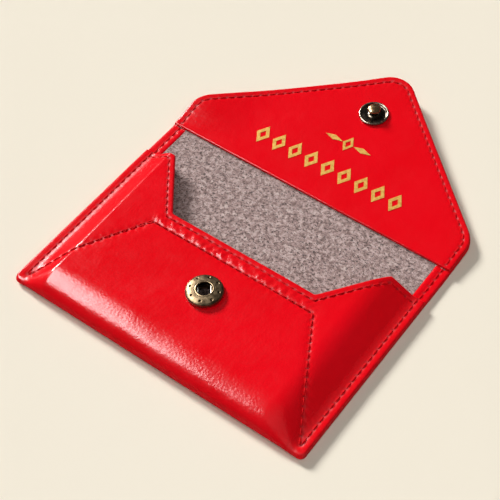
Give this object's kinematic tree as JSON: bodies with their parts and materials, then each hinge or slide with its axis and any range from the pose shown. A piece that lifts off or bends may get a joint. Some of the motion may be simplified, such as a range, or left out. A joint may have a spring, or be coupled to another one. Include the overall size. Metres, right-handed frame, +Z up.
{
  "type": "envelope card wallet",
  "caption": "Flat leather card wallet with an envelope pocket, notched front, folding spine and a pointed flap that closes with a ring snap.",
  "frame": {"origin": "middle of the back panel's resting face, 35 mm above the pocket's bottom edge", "axes": "+X across the wallet to the right, +Y from the pocket's bottom edge to the flap's tip, +Z up from the table through the pocket"},
  "size_m": [0.11, 0.141, 0.0097],
  "materials": {
    "red_leather": "glossy",
    "red_thread": "matte",
    "marled_lining": "matte",
    "antique_brass": "satin",
    "gunmetal": "polished",
    "spring_wire": "satin",
    "stiffener": "matte",
    "gold_foil": "satin"
  },
  "bodies": {
    "pocket": {"back_panel": "red_leather", "bottom_fold": "red_leather", "front_panel": "red_leather", "back_lining": "marled_lining", "front_lining": "marled_lining", "left_edge_border": "red_leather", "right_edge_border": "red_leather", "snap_socket": "antique_brass", "socket_eyelet": "antique_brass", "socket_reinforcement": "stiffener", "left_side_thread": "red_thread", "right_side_thread": "red_thread", "front_edge_thread": "red_thread", "envelope_thread": "red_thread"},
    "spine": {"spine_leather": "red_leather", "spine_lining": "marled_lining", "spine_left_border": "red_leather", "spine_right_border": "red_leather", "spine_left_thread": "red_thread", "spine_right_thread": "red_thread"},
    "flap": {"flap_outer": "red_leather", "flap_lining": "marled_lining", "flap_facing": "red_leather", "flap_left_border": "red_leather", "flap_right_border": "red_leather", "flap_edge_thread": "red_thread", "snap_cap": "gunmetal", "snap_stud": "gunmetal", "stud_reinforcement": "stiffener", "foil_band": "gold_foil", "foil_ornament": "gold_foil"},
    "spring_leg_left": {"snap_spring_left": "spring_wire"},
    "spring_leg_right": {"snap_spring_right": "spring_wire"}
  },
  "joints": [
    {"name": "spine_fold", "type": "hinge", "parent": "pocket", "child": "spine", "pos_m": [0, 0.0348, 0.0017], "axis": [1, 0, 0], "range_deg": [0, 90]},
    {"name": "flap_fold", "type": "hinge", "parent": "spine", "child": "flap", "pos_m": [0, 0.04475, 0.0017], "axis": [1, 0, 0], "range_deg": [0, 86.76]},
    {"name": "spring_leg_right_slide", "type": "slide", "parent": "pocket", "child": "spring_leg_right", "axis": [0.7912, 0.6115, 0], "range_m": [0, 0.0005], "stiffness_N_per_m": 2000},
    {"name": "spring_leg_left_slide", "type": "slide", "parent": "pocket", "child": "spring_leg_left", "axis": [-0.7912, -0.6115, 0], "range_m": [0, 0.0005], "stiffness_N_per_m": 2000}
  ],
  "couplings": [
    {"joint": "flap_fold", "follows": "spine_fold", "ratio": 0.96391}
  ]
}
